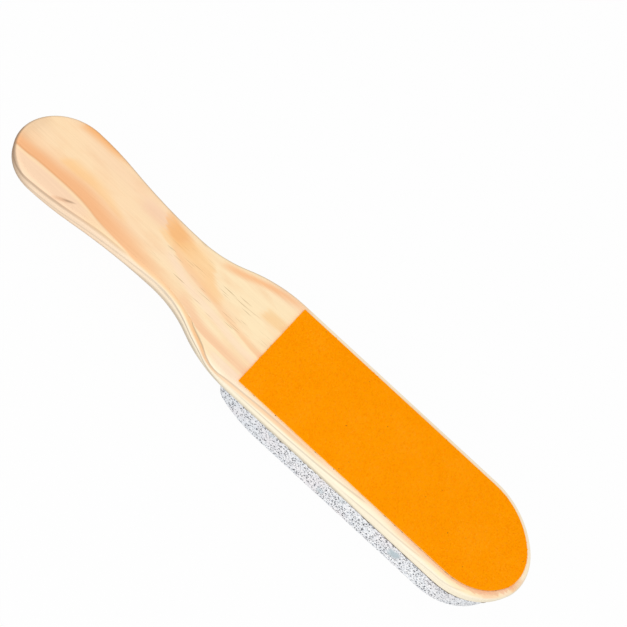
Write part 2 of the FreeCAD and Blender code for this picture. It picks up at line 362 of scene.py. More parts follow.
         "share": [(-125, 0.2), (-100, 0.25), (-60, 0.24), (-40, 0.42), (-25, 0.55), (-15, 0.42), (-8, 0.2),
                   (0, 0)]},
        {"colour": "#8c7a68", "fade": (0.4, 0.4),
         "edge": [(-8, 2.6), (12, 2.3), (22, 2.1), (32, 1.7), (42, 1.2), (54, 0.2), (62, -0.6)],
         "width": 1.1, "share": [(-8, 0), (5, 0.26), (25, 0.32), (45, 0.34), (58, 0.24), (63, 0)]},
        {"colour": "#8c7a68", "fade": (0.4, 0.4),
         "edge": [(48, 2.8), (57, 2.2), (64, 1.8), (72, 1.5), (82, 1), (92, 0.3)], "width": 1.1,
         "share": [(46, 0), (57, 0.26), (70, 0.26), (84, 0.22), (92, 0)]},
        {"colour": "#8c7a68", "fade": (0.4, 0.4), "edge": [(78, 3.4), (92, 2.4), (100, 1.8), (107, 0.7)],
         "width": 1.1, "share": [(78, 0), (92, 0.2), (103, 0.2), (109, 0)]},
    ],
    "nearWave": 0.5,  # the part of the slow waves that these follow
    "bladeSpan": (-80, -5),  # where along X the edge turns from the handle's colour to the blade's
    # growth rings round a pith below the board, for the far edge and the ends:
    # radius, late wood's width, fade outside it, strength
    "rings": [
        (30.2, 1.4, 0.12, 0.7),
        (34.0, 1.2, 0.12, 0.6),
        (37.75, 0.8, 0.15, 0.9),
        (40.0, 1.2, 0.2, 1.0),
        (43.9, 2.2, 0.12, 1.0),
        (48.8, 2.2, 0.12, 0.8),
    ],
    "ringLines": [35.8, 38.4, 41.0, 43.3, 45.8, 47.6],
    "lineFade": (0.35, 0.2),  # inside and outside a line
    "lineShare": 0.6,
    "ringSpan": (24, 52),
    "pithDepth": [(-125, 41.3), (-84, 40.9), (-40, 38.9), (0, 37), (125, 31)],  # under the top face
    "pithSide": 5.0,
    # share of end grain and painted shade along X, most at the handle's end
    "endGrainAndShadeShare": [(-100, 0.75), (-90, 0.2), (100, 0.05), (125, 0.12)],
    "endFacing": (0.1, 0.7),  # square of the normal's X at which end grain starts and is full
    # painted shade on the lower edges: where it starts along X, how deep it grows, its share
    "lowerShadeTop": [(-125, 15.8), (-95, 15.6), (-80, 15), (-68, 15), (-60, 15.3), (-50, 16.3), (-35, 16.5),
                 (-25, 16.5), (-15, 15.9), (45, 15.9), (60, 15.4), (80, 15.2)],
    "lowerShadeDepth": 1.4,
    "lowerShadeShare": [(-125, 0.36), (-100, 0.26), (-80, 0.38), (-65, 0.5), (-50, 0.4), (-35, 0.5), (-25, 0.52),
                   (-15, 0.36), (20, 0.42), (45, 0.48), (55, 0.45), (65, 0.3), (80, 0.22), (100, 0.08)],
    # painted shade on the handle's upper rounding, away from the near side: what limits it, the value where
    # it starts and the one where it is full
    "rimLimits": [("normalZ", (0.97, 0.85)), ("normalZ", (0.2, 0.6)), ("x", (0, -12))],
    "rimShare": 0.4,
    # zones with resin ducts cut lengthwise: middle and half size; the core has the full share
    "fleckZones": [((-32, -1, woodHigh[2]), (34, 12, 3)), ((-55, -1, woodLow[2]), (56, 11, 3))],
    "fleckCore": 0.6,
    "fleckShare": 0.5,
    "fleckSpan": (0.7, 0.83),  # the noise where a fleck starts and is full
    # a small knot scar in the handle, and a painted shadow along its upper right edge: middle, turn in
    # degrees, half size, share, colour
    "scars": [
        ((-93.4, -15.6, woodHigh[2]), 29.0, (4.6, 1.1, 6.0), 0.4, "#c98f63"),
        # painted shadow along the scar's upper right edge
        ((-91.4, -14.3, woodHigh[2]), 29.0, (3.0, 0.6, 6.0), 0.45, "#7d6a58"),
    ],
    "scarCore": 0.35,
}


def alongFile(tree, along, points, span=(0.0, 1.0)):
    # a line drawn along the file, read at along, which is 0 at the handle's end and 1 at the tip;
    # a plain number is the same all along
    if not isinstance(points, list):
        return points
    low, high = span
    start, end = woodLow[0], woodHigh[0]
    before = [(start, points[0][1])] * (points[0][0] > start)
    after = [(end, points[-1][1])] * (points[-1][0] < end)
    places = before + points + after
    curve = [((x - start) / (end - start), (value - low) / (high - low)) for x, value in places]
    line = addNode(tree, "FloatCurve", {"Value": along}, curve=curve)
    return addNode(tree, "MapRange", {"Value": line, toSpan: span})


def strokeLayers(tree, along, across, strokes, where):
    layers = []
    for stroke in strokes:
        edge = alongFile(tree, along, stroke["edge"], pine["edgeRange"])
        width = alongFile(tree, along, stroke["width"], pine["widthRange"])
        share = alongFile(tree, along, stroke["share"])
        fadeIn, fadeOut = stroke["fade"]
        past = addNode(tree, "Math", {0: across, 1: edge}, operation="SUBTRACT")
        part = addNode(tree, "Math", {0: past, 1: width}, operation="DIVIDE")
        rise = addNode(
            tree, "MapRange", {"Value": part, "From Max": fadeIn, "To Max": share},
            interpolation_type="SMOOTHSTEP")
        fall = addNode(
            tree, "MapRange", {"Value": part, fromSpan: (1.0, 1.0 - fadeOut), "To Max": where},
            interpolation_type="SMOOTHSTEP")
        layers.append((stroke["colour"], rise, fall))
    return layers


def pinePlaces(tree):
    # where a point is, which side it is on and its noises, by name, for the functions below
    place = addNode(tree, "TexCoord").outputs["Object"]
    inMm = addNode(tree, "VectorMath", {0: place, "Scale": 1 / mm}, operation="SCALE")
    x, y, z = addNode(tree, "SeparateXYZ", {0: inMm}).outputs
    normal = addNode(tree, "NewGeometry").outputs["Normal"]
    normalX, normalY, normalZ = addNode(tree, "SeparateXYZ", {0: normal}).outputs
    at = {"inMm": inMm, "x": x, "y": y, "z": z, "normalX": normalX, "normalZ": normalZ}
    level = addNode(tree, "Math", {0: normalZ}, operation="ABSOLUTE")
    for name, source, blend in (
            ("wall", level, "SMOOTHSTEP"), ("onTop", normalZ, "LINEAR"), ("onUnder", normalZ, "LINEAR"),
            ("onNear", normalY, "LINEAR")):
        at[name] = addNode(
            tree, "MapRange", {"Value": source, fromSpan: pine[name]}, interpolation_type=blend)
    at["elsewhere"] = addNode(tree, "Math", {0: 1.0, 1: at["onNear"]}, operation="SUBTRACT")
    for name, (size, detail) in pine["noises"].items():
        scaled = addNode(tree, "VectorMath", {0: inMm, 1: [1 / side for side in size]}, operation="MULTIPLY")
        at[name] = addNode(tree, "TexNoise", {"Vector": scaled, "Scale": 1.0, "Detail": detail})
    at["slowShift"] = addNode(tree, "MapRange", {
        "Value": at["slow"], fromSpan: noiseSpan, toSpan: pine["slowReach"]})
    pull = addNode(tree, "Math", {0: at["fibre"], 1: sum(noiseSpan) / 2}, operation="SUBTRACT")
    pulled = addNode(tree, "Math", {0: pull, 1: pine["ragged"], 2: x}, operation="MULTIPLY_ADD")
    for name, source in (("along", x), ("raggedAlong", pulled)):
        at[name] = addNode(tree, "MapRange", {"Value": source, fromSpan: (woodLow[0], woodHigh[0])})
    return at


def addRings(tree, at):  # late wood and thin lines, by distance from the pith
    sideways = addNode(tree, "Math", {0: at["y"], 1: pine["pithSide"]}, operation="SUBTRACT")
    depth = alongFile(tree, at["along"], pine["pithDepth"], pine["depthRange"])
    height = addNode(tree, "Math", {0: at["z"], 1: depth}, operation="ADD")
    upward = addNode(tree, "Math", {0: height, 1: woodHigh[2]}, operation="SUBTRACT")
    arm = addNode(tree, "CombineXYZ", {1: sideways, 2: upward})
    radius = addNode(tree, "VectorMath", {0: arm}, operation="LENGTH").outputs["Value"]
    grown = addNode(tree, "Math", {0: radius, 1: at["slowShift"]}, operation="ADD")
    low, high = pine["ringSpan"]
    ringShare = addNode(tree, "MapRange", {"Value": grown, fromSpan: (low, high)})
    bands, lines = [], []
    for ring, width, fade, strength in pine["rings"]:
        bands += [(ring - width, 0.0), (ring, strength), (ring + fade, 0.0)]
    inside, outside = pine["lineFade"]
    for ring in pine["ringLines"]:
        lines += [(ring - inside, 0.0), (ring, pine["lineShare"]), (ring + outside, 0.0)]
    for name, marks in (("late", bands), ("line", lines)):
        stops = [((mark - low) / (high - low), (share, share, share, 1.0)) for mark, share in marks]
        at[name] = addNode(tree, "ValToRGB", {0: ringShare}, stops=stops)


def faceLayers(tree, at):  # beige to cream along the file, with blotches, then the figure drawn
    layers = [(pine["cream"], alongFile(tree, at["along"], pine["creamShare"]))]
    for name, (span, most) in pine["tints"].items():
        share = addNode(tree, "MapRange", {"Value": at[name], fromSpan: span, "To Max": most})
        layers.append((pine[name], share))
    across = addNode(tree, "Math", {0: at["y"], 1: at["slowShift"]}, operation="ADD")
    for strokes, where in (("topStrokes", "onTop"), ("underStrokes", "onUnder")):
        layers += strokeLayers(tree, at["raggedAlong"], across, pine[strokes], at[where])
    return layers


def edgeLayers(tree, at):  # paler, with the rings as thin lines
    bladeShare = addNode(tree, "MapRange", {"Value": at["x"], fromSpan: pine["bladeSpan"]})
    layers = [
        (paint(tree, pine["edgeHandle"], [(pine["edgeBlade"], bladeShare)]), at["wall"]),
        (pine["edgeLate"], at["late"], at["elsewhere"], at["wall"]),
        (pine["ringLine"], at["line"], at["elsewhere"], at["wall"])]
    # the near edge's own lines, measured over the rounding and down the wall
    radius = pine["edgeRadius"]
    upright = addNode(tree, "Math", {0: at["normalZ"], 1: 0.0}, operation="MAXIMUM")
    lean = addNode(tree, "Math", {0: upright}, operation="ARCCOSINE")
    fallen = addNode(tree, "Math", {0: woodHigh[2] - radius, 1: at["z"]}, operation="SUBTRACT")
    straight = addNode(tree, "Math", {0: fallen, 1: 0.0}, operation="MAXIMUM")
    down = addNode(tree, "Math", {0: lean, 1: radius, 2: straight}, operation="MULTIPLY_ADD")
    wavyDown = addNode(
        tree, "Math", {0: at["slowShift"], 1: pine["nearWave"], 2: down}, operation="MULTIPLY_ADD")
    return layers + strokeLayers(tree, at["along"], wavyDown, pine["nearStrokes"], at["onNear"])


def ovalShare(tree, at, middle, size, core, most, turn=0.0):  # most in an oval's core, nothing past its rim
    inside = addNode(
        tree, "Mapping",
        {"Vector": at["inMm"], "Location": middle, "Rotation": (0, 0, math.radians(turn)), "Scale": size},
        vector_type="TEXTURE")
    away = addNode(tree, "VectorMath", {0: inside}, operation="LENGTH").outputs["Value"]
    return addNode(tree, "MapRange", {"Value": away, fromSpan: (1.0, core), "To Max": most})


def shadeAndWearLayers(tree, at):
    # painted shade on the lower rounding and the lower part of the edges, darker towards the bottom
    lowerShadeTop = alongFile(tree, at["along"], pine["lowerShadeTop"], pine["lowerShadeRange"])
    lowerShadeFull = addNode(tree, "Math", {0: lowerShadeTop, 1: pine["lowerShadeDepth"]}, operation="SUBTRACT")
    lowerShade = addNode(tree, "MapRange", {
        "Value": at["z"], fromSpan: (lowerShadeTop, lowerShadeFull),
        "To Max": alongFile(tree, at["along"], pine["lowerShadeShare"])})
    # painted shade along the upper rounding of the handle's far side and end
    limits = []
    for source, span in pine["rimLimits"]:
        limits.append(addNode(tree, "MapRange", {"Value": at[source], fromSpan: span}))
    # end grain soaks up more and is darker; most at the handle's end, where the dark is also painted shade on
    # the rounded end
    endSquare = addNode(tree, "Math", {0: at["normalX"], 1: at["normalX"]}, operation="MULTIPLY")
    endGrainAndShadeShare = addNode(tree, "MapRange", {
        "Value": endSquare, fromSpan: pine["endFacing"],
        "To Max": alongFile(tree, at["along"], pine["endGrainAndShadeShare"])})
    endGrainAndShadeTone = paint(tree, pine["endGrainAndShade"], [(pine["endLate"], at["late"])])
    # flecks: resin ducts cut lengthwise, about 6 mm long and 0.3 mm wide
    zones = [
        ovalShare(tree, at, middle, size, pine["fleckCore"], pine["fleckShare"])
        for middle, size in pine["fleckZones"]]
    zone = addNode(tree, "Math", {0: zones[0], 1: zones[1]}, operation="MAXIMUM")
    fleck = addNode(tree, "MapRange", {"Value": at["fleck"], fromSpan: pine["fleckSpan"], "To Max": zone})
    scars = [
        (tone, ovalShare(tree, at, middle, size, pine["scarCore"], most, turn))
        for middle, turn, size, most, tone in pine["scars"]]
    return [
        (pine["lowerShade"], lowerShade, at["wall"]), (pine["rim"], pine["rimShare"], at["elsewhere"], *limits),
        (endGrainAndShadeTone, endGrainAndShadeShare, at["wall"]), (pine["fleck"], fleck)] + scars


def makePine():
    # sanded bare pine: broad soft patches where the rings lie flat, thin lines on the edges, hardly any gloss
    material, tree, shader = newMaterial("sandedPine")
    at = pinePlaces(tree)
    addRings(tree, at)
    layers = faceLayers(tree, at) + edgeLayers(tree, at) + shadeAndWearLayers(tree, at)
    streak = addNode(tree, "MapRange", {"Value": at["fibre"], fromSpan: noiseSpan, toSpan: pine["streak"]})
    colour = paint(tree, pine["early"], layers)
    streaked = addNode(tree, "VectorMath", {0: colour, "Scale": streak}, operation="SCALE")
    bump = addNode(tree, "Bump", {"Height": at["fibre"], "Strength": 0.15, "Distance": 0.1 * mm})
    setInputs(tree, shader, {
        "Base Color": streaked, "Roughness": 0.65, "IOR": 1.5, "Specular IOR Level": 0.1, "Normal": bump})
    return material


dress("wooden_paddle", makePine())
print("pine paddle dressed")

# pumice stone
pumice = {
    "body": "#d6dae0",
    "bright": "#ffffff",
    # painted shade inside the pores, on the sides and on the working face
    "sidePoreShade": "#4a4b52",
    "facePoreShade": "#4b4b4f",
    "filled": "#b4c2c8",
    "blush": "#e9dcdc",
    "greySpan": (0, 40 * mm),  # along X: the ground is greyest before it
    "greyLeast": 0.35,
    "crumbSize": 0.6 * mm,
    "crumbSpan": (0.35, 0.65),
    "blushSize": 15 * mm,
    "blushSpan": (0.5, 0.75),
    "blushShare": 0.5,
    "faceLean": (-0.5, -0.95),  # the normal's Z where the working face starts and is full
    "bedLean": (0.7, 0.4),  # and where, below the glued face, pores start and are full
    "voxel": 0.36 * mm,
    "coarseSpacing": 1.35 * mm,
    "coarseShare": 0.3,
    "coarseDepth": 0.4 * mm,
    "coarseDark": 1.0,
    "fineSpacing": 0.8 * mm,
    "fineShare": 0.36,
    "fineDepth": 0.16 * mm,
    "fineDark": 0.9,
    "darkSpan": (1.1, 0.6),  # parts of a pore's radius: where its painted shade starts and is full
    "poreFloor": 0.1,  # part of a pore's cell that is at full depth
    "roughSize": 1.4 * mm,
    "roughDepth": 0.25 * mm,
    # bubbles that ground dust has filled, on the near side: X, Z, radius in mm, how full
    "fills": [(81, 7.7, 2.6, 0.9), (46, 5.2, 1.7, 0.55), (19, 10.8, 1.5, 0.4), (54, 10.3, 1.4, 0.4)],
    "fillRise": 0.45 * mm,
    "fillRagged": 0.35,  # parts of a bubble's radius: how far its outline wanders,
    "fillReach": 1.15,  # where the dust ends
    "fillFade": 0.5,  # and over how much it thins out
    "raggedSize": 1.3 * mm,
    "nearSide": -20 * mm,
    "bedRim": 4.8 * mm,
    "bedDepth": 0.15 * mm,
}


def makePumice():
    # foamed stone, sawn and ground: pale, dead matt, with open bubbles whose dark insides are painted shade
    # over the real hollows
    material, tree, shader = newMaterial("foamedPumice")
    place = addNode(tree, "Attribute", attribute_name="restPlace").outputs["Vector"]
    facing = addNode(tree, "Attribute", attribute_name="restNormal").outputs["Vector"]
    filled = addNode(tree, "Attribute", attribute_name="filled").outputs["Fac"]
    facingZ = addNode(tree, "SeparateXYZ", {0: facing}).outputs[2]
    face = addNode(tree, "MapRange", {"Value": facingZ, fromSpan: pumice["faceLean"]})
    unfilled = addNode(tree, "Math", {0: 1.0, 1: filled}, operation="SUBTRACT")
    # painted shade inside the pores, over the hollows that the geometry cuts
    darks = []
    for size in ("coarse", "fine"):
        share = pumice[size + "Share"]
        cells = addNode(tree, "TexVoronoi", {"Vector": place, "Scale": 1 / pumice[size + "Spacing"]})
        darks.append(addNode(tree, "MapRange", {
            "Value": cells, fromSpan: [share * part for part in pumice["darkSpan"]],
            "To Max": pumice[size + "Dark"]}))
    dark = addNode(tree, "Math", {0: darks[0], 1: darks[1]}, operation="MAXIMUM")
    # crumbly ground between the pores, with less white in it towards the handle
    crumb = addNode(tree, "TexNoise", {"Vector": place, "Scale": 1 / pumice["crumbSize"], "Detail": 2.0})
    placeX = addNode(tree, "SeparateXYZ", {0: place}).outputs[0]
    white = addNode(tree, "MapRange", {
        "Value": placeX, fromSpan: pumice["greySpan"], "To Min": pumice["greyLeast"]})
    crumbShare = addNode(tree, "MapRange", {"Value": crumb, fromSpan: pumice["crumbSpan"], "To Max": white})
    # a faint blush in wide patches
    blush = addNode(tree, "TexNoise", {"Vector": place, "Scale": 1 / pumice["blushSize"], "Detail": 1.0})
    blushShare = addNode(tree, "MapRange", {
        "Value": blush, fromSpan: pumice["blushSpan"], "To Max": pumice["blushShare"]})
    pore = paint(tree, pumice["sidePoreShade"], [(pumice["facePoreShade"], face)])
    colour = paint(tree, pumice["body"], [
        (pumice["bright"], crumbShare), (pumice["blush"], blushShare), (pumice["filled"], filled),
        (pore, dark, unfilled)])
    setInputs(tree, shader, {"Base Color": colour, "Roughness": 0.95, "Specular IOR Level": 0.05})
    return material


def poreGrowth():
    tree, entry, identifiers = newGrowth(
        "openPores", "Coarse Spacing", "Coarse Share", "Coarse Depth", "Fine Spacing", "Fine Share",
        "Fine Depth", "Rough Size", "Rough Depth")
    place = addNode(tree, "GeometryNodeInputPosition")
    normal = addNode(tree, "GeometryNodeInputNormal")
    kept = entry["Geometry"]
    for name, source in (("restPlace", place), ("restNormal", normal)):
        kept = addNode(tree, "GeometryNodeStoreNamedAttribute", {
            "Geometry": kept, "Name": name, "Value": source}, data_type="FLOAT_VECTOR")
    filled = addNode(tree, "GeometryNodeInputNamedAttribute", {"Name": "filled"}, data_type="FLOAT")
    # no pores in the filled bubbles or in the face that is glued
    normalZ = addNode(tree, "SeparateXYZ", {0: normal}).outputs[2]
    free = addNode(tree, "MapRange", {"Value": normalZ, fromSpan: pumice["bedLean"]})
    unfilled = addNode(tree, "Math", {0: 1.0, 1: filled}, operation="SUBTRACT")
    openShare = addNode(tree, "Math", {0: free, 1: unfilled}, operation="MULTIPLY")
    sinks = []
    for size in ("Coarse", "Fine"):
        scale = addNode(tree, "Math", {0: 1.0, 1: entry[size + " Spacing"]}, operation="DIVIDE")
        cells = addNode(tree, "TexVoronoi", {"Vector": place, "Scale": scale})
        sinks.append(addNode(
            tree, "MapRange",
            {"Value": cells, fromSpan: (entry[size + " Share"], pumice["poreFloor"]),
             "To Max": entry[size + " Depth"]},
            interpolation_type="SMOOTHSTEP"))
    sink = addNode(tree, "Math", {0: sinks[0], 1: sinks[1]}, operation="MAXIMUM")
    roughScale = addNode(tree, "Math", {0: 1.0, 1: entry["Rough Size"]}, operation="DIVIDE")
    rough = addNode(tree, "TexNoise", {"Vector": place, "Scale": roughScale, "Detail": 1.0})
    worn = addNode(tree, "Math", {0: rough, 1: entry["Rough Depth"]}, operation="MULTIPLY")
    both = addNode(tree, "Math", {0: sink, 1: worn}, operation="ADD")
    gone = addNode(tree, "Math", {0: both, 1: openShare}, operation="MULTIPLY")
    inward = addNode(tree, "Math", {0: gone, 1: -1.0}, operation="MULTIPLY")
    offset = addNode(tree, "VectorMath", {0: normal, "Scale": inward}, operation="SCALE")
    moved = addNode(tree, "GeometryNodeSetPosition", {"Geometry": kept, "Offset": offset})
    endGrowth(tree, moved, entry["Material"])
    return tree, identifiers


def flattenBed(mesh, level, rim):
    # the glued face, away from its rim, becomes one plain face again
    work = bmesh.new()
    work.from_mesh(mesh)
    low = [min(vert.co[axis] for vert in work.verts) for axis in (0, 1)]
    high = [max(vert.co[axis] for vert in work.verts) for axis in (0, 1)]
    tipStart = high[0] - (high[1] - low[1]) / 2
    inside = []
    for polygon in work.faces:
        centre = polygon.calc_center_median()
        reach = math.hypot(max(centre.x - tipStart, 0.0), centre.y)
        if centre.z > level and reach < high[1] - rim and centre.x > low[0] + rim:
            inside.append(polygon)
    bmesh.ops.dissolve_faces(work, faces=inside, use_verts=True)
    work.to_mesh(mesh)
    work.free()


def fillBubbles(mesh):
    # marks the bubbles that dust has filled, and lets them stand out a little
    filled = mesh.attributes.new("filled", "FLOAT", "POINT")
    for vert, mark in zip(mesh.vertices, filled.data):
        if vert.co.y < pumice["nearSide"]:
            for fillX, fillZ, radius, fullness in pumice["fills"]:
                away = math.hypot(vert.co.x - fillX * mm, vert.co.z - fillZ * mm) / (radius * mm)
                away += pumice["fillRagged"] * noise.noise(vert.co / pumice["raggedSize"])
                dust = (pumice["fillReach"] - away) / pumice["fillFade"]
                mark.value = max(mark.value, fullness * min(1.0, max(0.0, dust)))
                vert.co.y -= pumice["fillRise"] * fullness * max(0.0, 1.0 - away ** 2)


stone = plainCopy("pumice_stone", "porous_stone")
remesh = stone.modifiers.new("blank", "REMESH")
remesh.mode = "VOXEL"
remesh.voxel_size = pumice["voxel"]
settle(stone)
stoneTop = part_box("pumice_stone")[1][2]
flattenBed(stone.data, stoneTop - pumice["bedDepth"], pumice["bedRim"])
fillBubbles(stone.data)
grow(stone, poreGrowth(), pumice, makePumice())
fit(stone, "pumice_stone")

# glue, squeezed out of both bonds
driedGlue = {
    "cloudSize": 1.8 * mm,
    "cloudSpan": (0.4, 0.7),
    "dull": (0.35, 0.75),  # least and most roughness
    "foldLeast": 1.0,  # radians: a layer's rim is bent more than this
    "rimShare": 0.25,  # the upper part of a layer's thickness in which its upper rim lies
    "swellSpan": 0.2,  # the part of the noise over which a bead goes from thin to thick
    "beadSides": 6,
}
stoneGlue = {
    # dark brown: the glue's own colour, darkened further as painted shade of the groove between wood and
    # stone
    "colour": "#53483e",
    "pale": "#9a8d80",
    "step": 0.3 * mm,
    "reach": 1.9 * mm,  # from the bed's rim out past the stone's edge
    "lift": 0.15 * mm,
    "thin": 0.12 * mm,
    "thick": 0.5 * mm,
    "spread": 2.2 * mm,
    "start": 0.5,
}
sheetGlue = {
    "colour": "#6f4e26",
    "pale": "#b8935a",
    "step": 0.2 * mm,
    "reach": 0.45 * mm,  # from the film's rim out to the paper's edge
    "lift": 0.0,
    "thin": 0.02 * mm,
    "thick": 0.26 * mm,
    "spread": 1.3 * mm,
    "start": 0.58,
}


def makeGlue(name, glue):
    # dried glue with dust in it: dull brown, a little gloss left in places
    material, tree, shader = newMaterial(name)
    place = addNode(tree, "TexCoord").outputs["Object"]
    cloud = addNode(tree, "TexNoise", {"Vector": place, "Scale": 1 / driedGlue["cloudSize"], "Detail": 2.0})
    share = addNode(tree, "MapRange", {"Value": cloud, fromSpan: driedGlue["cloudSpan"]})
    dull = addNode(tree, "MapRange", {"Value": cloud, toSpan: driedGlue["dull"]})
    colour = paint(tree, glue["colour"], [(glue["pale"], share)])
    setInputs(tree, shader, {"Base Color": colour, "Roughness": dull, "IOR": 1.48})
    return material


def beadGrowth():
    tree, entry, identifiers = newGrowth(
        "squeezedBead", "Rim Level", "Step", "Reach", "Lift", "Thin", "Thick", "Spread", "Start")
    # outward along the layer's upper rim
    normal = addNode(tree, "GeometryNodeInputNormal")
    level = addNode(tree, "VectorMath", {0: normal, 1: (1, 1, 0)}, operation="MULTIPLY")
    outward = addNode(tree, "VectorMath", {0: level}, operation="NORMALIZE")
    kept = addNode(tree, "GeometryNodeStoreNamedAttribute", {
        "Geometry": entry["Geometry"], "Name": "outward", "Value": outward}, data_type="FLOAT_VECTOR")
    place = addNode(tree, "GeometryNodeInputPosition")
    height = addNode(tree, "SeparateXYZ", {0: place}).outputs[2]
    upper = addNode(tree, "FunctionNodeCompare", {0: height, 1: entry["Rim Level"]}, operation="GREATER_THAN")
    fold = addNode(tree, "GeometryNodeInputMeshEdgeAngle")
    sharp = addNode(
        tree, "FunctionNodeCompare", {0: fold, 1: driedGlue["foldLeast"]}, operation="GREATER_THAN")
    rim = addNode(tree, "FunctionNodeBooleanMath", {0: upper, 1: sharp}, operation="AND")
    path = addNode(tree, "GeometryNodeMeshToCurve", {"Mesh": kept, "Selection": rim})
    even = addNode(tree, "GeometryNodeResampleCurve", {"Curve": path, "Length": entry["Step"]}, mode="LENGTH")
    side = addNode(tree, "GeometryNodeInputNamedAttribute", {"Name": "outward"}, data_type="FLOAT_VECTOR")
    pushed = addNode(tree, "VectorMath", {0: side, "Scale": entry["Reach"]}, operation="SCALE")
    up = addNode(tree, "CombineXYZ", {2: entry["Lift"]})
    offset = addNode(tree, "VectorMath", {0: pushed, 1: up}, operation="ADD")
    laid = addNode(tree, "GeometryNodeSetPosition", {"Geometry": even, "Offset": offset})
    # thin all round, swelling here and there
    scale = addNode(tree, "Math", {0: 1.0, 1: entry["Spread"]}, operation="DIVIDE")
    swell = addNode(tree, "TexNoise", {"Vector": place, "Scale": scale, "Detail": 1.0})
    full = addNode(tree, "Math", {0: entry["Start"], 1: driedGlue["swellSpan"]}, operation="ADD")
    radius = addNode(
        tree, "MapRange",
        {"Value": swell, fromSpan: (entry["Start"], full), toSpan: (entry["Thin"], entry["Thick"])},
        interpolation_type="SMOOTHSTEP")
    ring = addNode(tree, "GeometryNodeCurvePrimitiveCircle", {"Resolution": driedGlue["beadSides"]})
    bead = addNode(tree, "GeometryNodeCurveToMesh", {"Curve": laid, "Profile Curve": ring, "Scale": radius})
    soft = addNode(tree, "GeometryNodeSetShadeSmooth", {"Geometry": bead})
    joined = addNode(tree, "GeometryNodeJoinGeometry", {0: [kept, soft]})
    endGrowth(tree, joined, entry["Material"])
    return tree, identifiers


def squeeze(node, name, glue, material):
    layer = plainCopy(node, name)
    low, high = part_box(node)
    rimLevel = high[2] - driedGlue["rimShare"] * (high[2] - low[2])
    grow(layer, beadGrowth(), {**glue, "rimLevel": rimLevel}, material)
    fit(layer, node)


woodGlueAndShade = makeGlue("driedWoodGlueAndShade", stoneGlue)
squeeze("stone_glue_bed", "stone_glue_beads", stoneGlue, woodGlueAndShade)
contactGlue = makeGlue("driedContactGlue", sheetGlue)
squeeze("sheet_glue_film", "sheet_glue_beads", sheetGlue, contactGlue)

# orange abrasive sheet: dyed paper with a coat of grain
orange = {
    "coat": "#ff9a02",
    "pale": "#ffa31e",
    "deep": "#f58c00",
    "speck": "#8a5a20",
    "paper": "#f7a93c",
    "paperPale": "#fbd08a",
    "cloudSize": 12 * mm,
    "cloudTone": (-0.15, 0.15),
    "speckSpacing": 6 * mm,
    "speckSpan": (0.045, 0.03),  # parts of that spacing: a speck's rim, and where it is darkest
    "speckShare": 0.7,
    "fibreSize": (3 * mm, 3 * mm, 0.15 * mm),
    "fibreSpan": (0.35, 0.65),
    # a real grain is about 0.2 mm: these are drawn coarse enough to show
    "grainSpacing": 0.6 * mm,
    "grainSize": 0.3 * mm,
    "grainHeight": 0.16 * mm,
    "grainSides": 5,
    "grainTurn": ((-0.25, -0.25, 0.0), (0.25, 0.25, 6.28)),  # least and most, radians
    "grainScale": ((0.7, 0.7, 0.5), (1.2, 1.2, 1.3)),
    "grainTone": (-0.6, 0.6),
    "apart": 0.7,  # least distance between grains, as a part of the spacing
    "tries": 3.0,  # grains tried in each square of the spacing
    "topFacing": 0.9,  # the normal's Z on the face that carries grain
    "seed": 7,
}


def makeGrit():
    # grain bonded in coloured resin: even, dead matt, each grain a touch lighter or deeper than the next
    material, tree, shader = newMaterial("resinBondedGrit")
    place = addNode(tree, "TexCoord").outputs["Object"]
    tone = addNode(tree, "Attribute", attribute_name="grainTone").outputs["Fac"]
    cloud = addNode(tree, "TexNoise", {"Vector": place, "Scale": 1 / orange["cloudSize"], "Detail": 3.0})
    cloudTone = addNode(tree, "MapRange", {"Value": cloud, fromSpan: noiseSpan, toSpan: orange["cloudTone"]})
    both = addNode(tree, "Math", {0: tone, 1: cloudTone}, operation="ADD")
    share = addNode(tree, "MapRange", {"Value": both, fromSpan: (-1.0, 1.0)})
    coat = addNode(tree, "ValToRGB", {0: share}, stops=[
        (0.0, linear(orange["deep"])), (0.5, linear(orange["coat"])), (1.0, linear(orange["pale"]))])
    # stray dark grains
    cells = addNode(tree, "TexVoronoi", {"Vector": place, "Scale": 1 / orange["speckSpacing"]})
    speck = addNode(tree, "MapRange", {
        "Value": cells, fromSpan: orange["speckSpan"], "To Max": orange["speckShare"]})
    colour = paint(tree, coat, [(orange["speck"], speck)])
    setInputs(tree, shader, {"Base Color": colour, "Roughness": 0.9, "Specular IOR Level": 0.0})
    return material


def makePaper():
    # heavy paper dyed through: its fibres show along the cut edge
    material, tree, shader = newMaterial("dyedAbrasivePaper")
    place = addNode(tree, "TexCoord").outputs["Object"]
    scale = [1 / side for side in orange["fibreSize"]]
    fine = addNode(tree, "VectorMath", {0: place, 1: scale}, operation="MULTIPLY")
    fibre = addNode(tree, "TexNoise", {"Vector": fine, "Scale": 1.0, "Detail": 3.0})
    share = addNode(tree, "MapRange", {"Value": fibre, fromSpan: orange["fibreSpan"]})
    colour = paint(tree, orange["paper"], [(orange["paperPale"], share)])
    bump = addNode(tree, "Bump", {"Height": fibre, "Strength": 0.3, "Distance": 0.05 * mm})
    setInputs(tree, shader, {
        "Base Color": colour, "Roughness": 0.85, "Specular IOR Level": 0.1, "Normal": bump})
    return material


